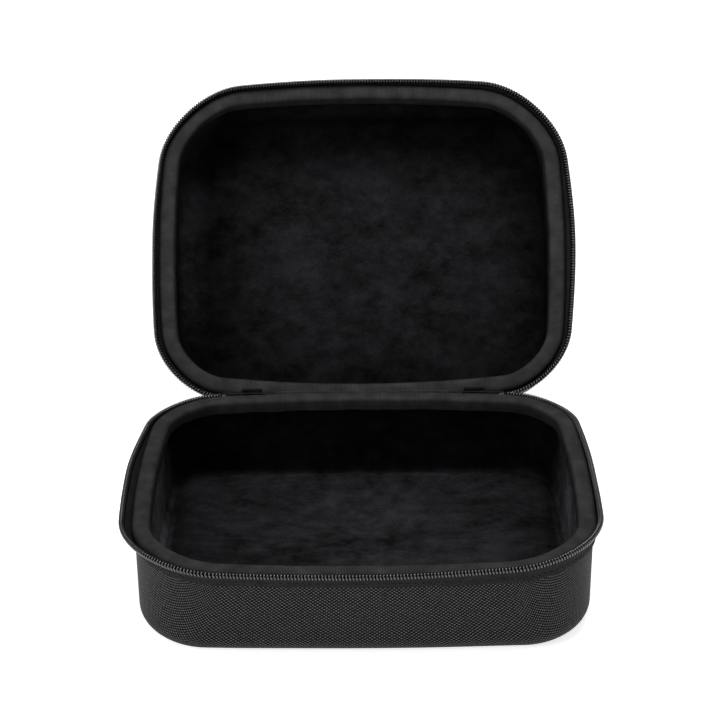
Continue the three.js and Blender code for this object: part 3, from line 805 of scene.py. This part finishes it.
def stitch_row(name, half, along, body, replaces):
    """A running row of stitches along the tape. Each dips into it at both ends."""
    length, gap, radius = 2.3, 0.7, 0.2
    points, sides = 5, 6
    count = int((RIM_LENGTH - 2 * ZIPPER_START) / (length + gap))
    verts, faces = [], []
    places = np.linspace(-1, 1, points)
    rise = TAPE_THICKNESS / 2 + 0.12 - 0.25 * places ** 4
    for index in range(count):
        s = ZIPPER_START + (index + 0.5) * (length + gap) + places * length / 2
        middle = np.concatenate([tape_place(half, s[k:k + 1], along, rise[k]) for k in range(points)])
        _, normal = rim_at(s)
        out = np.concatenate([normal, np.zeros((points, 1))], axis=1)
        down = np.array([0, 0, 1.0])
        start = len(verts)
        for k in range(points):
            r = radius * (1 if 0 < k < points - 1 else 0.5)
            for phase in np.arange(sides) * 2 * math.pi / sides:
                verts.append(middle[k] + r * (math.cos(phase) * out[k] + math.sin(phase) * down))
        for k in range(points - 1):
            for j in range(sides):
                a, b = start + k * sides + j, start + k * sides + (j + 1) % sides
                faces.append([a, b, b + sides, a + sides])
        faces.append([start + j for j in range(sides)])
        faces.append([start + (points - 1) * sides + j for j in range(sides)])
    return make(name, HALVES[half]["to_row"](np.array(verts)), faces, None, body,
                THREAD, replaces)


# ---- Spine --------------------------------------------------------------------------------------

FLAP_COLUMNS = 40
FLAP_FOOT = 6.8                   # where the flaps meet the wall, below the rim
FLAP_REACH = 4.6                  # from there to the last row before the fold
FLAP_OFF = 0.65                   # from the rim's outline to the middle of the flap's cloth
FLAP_BEND = 0.5                   # radius of the bend at the fold line


def two_sided(grid, thick_vectors):
    """A sheet given by its middle: both faces as one closed strip."""
    return np.concatenate([grid + thick_vectors, (grid - thick_vectors)[::-1]])


def flat_row(y, drop):
    return np.full(FLAP_COLUMNS, y), np.full(FLAP_COLUMNS, drop)


def spine_flap(half):
    """Cloth from the rim's back over the fold line, built bent round it at the rest pose's angle."""
    fold = HALVES[half]["fold"]
    columns = np.linspace(-SPINE_HALF_LENGTH, SPINE_HALF_LENGTH, FLAP_COLUMNS)
    s = np.mod(-columns * 1.003, RIM_LENGTH)
    point, _ = rim_at(s)
    wall_y = point[:, 1] + FLAP_OFF
    rows = []
    for drop in (FLAP_FOOT, 5.6, 4.4, 3.2, FLAP_FOOT - FLAP_REACH):
        ease = (FLAP_FOOT - drop) / FLAP_REACH
        y = wall_y - END_DRAFT * (drop - 1) + ease ** 2 * (FOLD_Y - wall_y)
        rows.append((y, np.full(FLAP_COLUMNS, drop)))
    for part in np.linspace(0, 1, 9):
        a = fold * part
        y = FOLD_Y + FLAP_BEND * math.sin(a)
        rows.append(flat_row(y, FOLD_DROP - FLAP_BEND * (math.cos(a) - 1) - FLAP_BEND * part))
    end_drop = FOLD_DROP - FLAP_BEND * (math.cos(fold) - 1) - FLAP_BEND
    for reach in (0.8, 1.8, 2.8):
        y = FOLD_Y + (FLAP_BEND + reach) * math.sin(fold)
        rows.append(flat_row(y, end_drop - reach * math.cos(fold)))
    grid = np.array([np.stack([columns, y, drop], axis=1) for y, drop in rows])
    along = np.gradient(grid, axis=0)
    across = np.cross(along, np.array([1.0, 0, 0]))
    across /= np.linalg.norm(across, axis=2, keepdims=True)
    half_thick = 0.3
    rings = two_sided(grid, across * half_thick)
    lengths = np.concatenate([[0], np.cumsum(np.linalg.norm(np.diff(grid[:, 0], axis=0), axis=1))])
    run = np.concatenate([lengths, 2 * lengths[-1] - lengths[::-1] + 2 * half_thick])
    uvs = [np.stack([columns, np.full(FLAP_COLUMNS, v)], axis=1)
           for v in [*run, run[-1] + 2 * half_thick]]
    verts, faces, corners = loft(rings, uvs, wrap_rows=True, wrap_cols=False)
    end_faces(faces, corners, rings.shape[0], FLAP_COLUMNS, uvs)
    obj = make(f"spine_{half}_flap", HALVES[half]["to_row"](verts), faces, corners, None,
               BINDING)
    before, after = 0.9, 1.2          # how far a bend about the fold line would spread to each side of it; the ends worked out from them are not used
    ends = np.array([[0, FOLD_Y, FOLD_DROP + before],
                     [0, FOLD_Y + after * math.sin(fold), FOLD_DROP - after * math.cos(fold)]])
    start, end = [tuple(p) for p in HALVES[half]["to_row"](ends) * MM]
    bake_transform(obj)
    return obj


def straight_strip(name, x_range, z_range, thick, cols, rows, material, replaces, crown=0.0):
    """A cloth strip on the spine, crowned a little across its width."""
    x = np.linspace(*x_range, cols)
    z = np.linspace(*z_range, rows)
    middle = (z_range[0] + z_range[1]) / 2
    half_width = (z_range[1] - z_range[0]) / 2
    rise = crown * (1 - ((z - middle) / half_width) ** 2)
    grid = np.array([[(xi, yi, zi) for xi in x] for yi, zi in zip(rise, z)])
    rings = two_sided(grid, np.array([0, thick / 2, 0]))
    run = np.concatenate([z, 2 * z[-1] - z[::-1] + thick])
    uvs = [np.stack([x, np.full(cols, v)], axis=1) for v in [*run, run[-1] + thick]]
    rings = ruffled(rings, 0.08, 5, 9)
    verts, faces, corners = loft(rings, uvs, wrap_rows=True, wrap_cols=False)
    end_faces(faces, corners, rings.shape[0], cols, uvs)
    return make(name, spine_to_row(verts), faces, corners, "spine", material, replaces)


TAIL_COIL_SCALE = (0.55, 0.62)    # the tails' coil against the rim's: width, and depth


def zipper_tail(hand_name, hand, edge_name, edge):
    """The straight end of a half zipper beside the spine: tape and wound coil."""
    node = f"zipper_tail_{edge_name}_{hand_name}"
    tape_width = 2.4
    x_range = sorted((hand * TAIL_START, hand * (TAIL_START + TAIL_LENGTH)))
    coil_z = SPINE_WIDTH / 2 + edge * TAIL_SPREAD
    z_range = sorted((coil_z, coil_z + edge * tape_width))
    straight_strip(f"tail_tape_{edge_name}_{hand_name}", x_range, z_range, TAPE_THICKNESS,
                   24, 5, TAPE, [])
    turns = int(TAIL_LENGTH / COIL_PITCH)
    angle = np.linspace(0, 2 * math.pi * turns, turns * TURN_POINTS)
    x = x_range[0] + 0.3 + COIL_PITCH * angle / (2 * math.pi)
    centre = np.stack([x, np.zeros_like(x), np.full_like(x, coil_z)], axis=1)
    reach = np.tile([0, 0, -edge * TAIL_COIL_SCALE[0]], (len(x), 1))
    depth = np.tile([0, TAIL_COIL_SCALE[1], 0], (len(x), 1))
    rings = wound_coil(centre, reach, depth, angle)
    return coil_object(f"tail_coil_{edge_name}_{hand_name}", rings, "spine", [node], spine_to_row)


def spine():
    straight_strip("spine_cloth", (-SPINE_HALF_LENGTH, SPINE_HALF_LENGTH), (0.9, SPINE_WIDTH - 0.9),
                   0.8, 60, 9, BINDING, ["spine_strip"], crown=0.15)
    for half in HALVES:
        spine_flap(half)
    for hand_name, hand in (("left", -1), ("right", 1)):
        x_range = sorted((hand * TAB_START, hand * (TAB_START + TAB_LENGTH)))
        straight_strip(f"end_tab_{hand_name}", x_range, (1.8, SPINE_WIDTH - 1.8), 1.0, 10, 7,
                       TAPE, [f"zipper_end_tab_{hand_name}"], crown=0.1)
        for edge_name, edge in (("lower", -1), ("upper", 1)):
            zipper_tail(hand_name, hand, edge_name, edge)


# ---- Carried-over CAD nodes ---------------------------------------------------------------------

def repaint(node, material):
    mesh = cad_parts[node].data
    mesh.materials.clear()
    mesh.materials.append(material)


# ---- Build --------------------------------------------------------------------------------------

LINING_ROUND = {"base": 4.2, "lid": 6.5}          # round between the lining's wall and floor
SEAM_PLACE = 2.2                                  # from the tape's foot, along the tape

for seed, side in enumerate(HALVES):
    shell(side)
    lining(side, LINING_ROUND[side])
    rim_binding(side, seed * 40 + 5)
    zipper_tape(side)
    zipper_coil(side)
    coil_cord(side)
    stitch_row(f"{side}_stitches", side, SEAM_PLACE, side, [f"{side}_seam_thread"])
    repaint(f"{side}_foam_shell", FOAM)
floor_pad()
spine()
repaint("floor_board", BOARD)
for side in ("left", "right"):
    repaint(f"slider_{side}", LACQUER)
    repaint(f"pull_{side}", LACQUER)


# ---- Floor, light and camera --------------------------------------------------------------------

def studio_floor():
    n = Nodes("studio_floor")
    paper = n.ramp(n.noise(400, 2), [(0.3, grey(0.9)), (0.7, grey(0.93))])
    n.put(paper, n.shader.inputs["Emission Color"])
    n.finish(paper, 0.8, Emission_Strength=0.8)
    mesh = bpy.data.meshes.new("studio_floor")
    size = 60.0                       # metres each way, so that its edge lies near the horizon
    corners = [(-size, -size, 0), (size, -size, 0), (size, size, 0), (-size, size, 0)]
    mesh.from_pydata(corners, [], [(0, 1, 2, 3)])
    mesh.materials.append(n.material)
    obj = bpy.data.objects.new("studio_floor", mesh)
    obj.location.z = -0.0004          # just below the underside, so that the faces don't flicker
    bpy.context.scene.collection.objects.link(obj)


def softbox(name, place, aim, size, power):
    data = bpy.data.lights.new(name, "AREA")
    data.shape = "RECTANGLE"
    data.size, data.size_y = size
    data.energy = power
    obj = bpy.data.objects.new(name, data)
    obj.location = place
    obj.rotation_euler = (Vector(aim) - Vector(place)).to_track_quat("-Z", "Y").to_euler()
    bpy.context.scene.collection.objects.link(obj)


def white_room(strength):
    world = bpy.data.worlds.new("white_room")
    world.use_nodes = True
    background = world.node_tree.nodes["Background"]
    background.inputs[0].default_value = (1, 1, 1, 1)
    background.inputs[1].default_value = strength
    bpy.context.scene.world = world


def camera():
    data = bpy.data.cameras.new("camera")
    data.lens = 100.75
    data.sensor_width = 36
    obj = bpy.data.objects.new("camera", data)
    obj.location = (0.0003, -0.7722, 0.4856)
    obj.rotation_euler = (math.radians(63.5), 0.0078, -0.002)
    bpy.context.scene.collection.objects.link(obj)
    bpy.context.scene.camera = obj


studio_floor()
white_room(0.36)
softbox("overhead", place=(0.05, 0.0, 1.15), aim=(0, 0.05, 0), size=(0.6, 0.4), power=13)
softbox("front", place=(-1.4, -1.1, 0.9), aim=(0, 0, 0.05), size=(0.6, 0.6), power=14)
camera()
bpy.context.scene.view_settings.view_transform = "Standard"
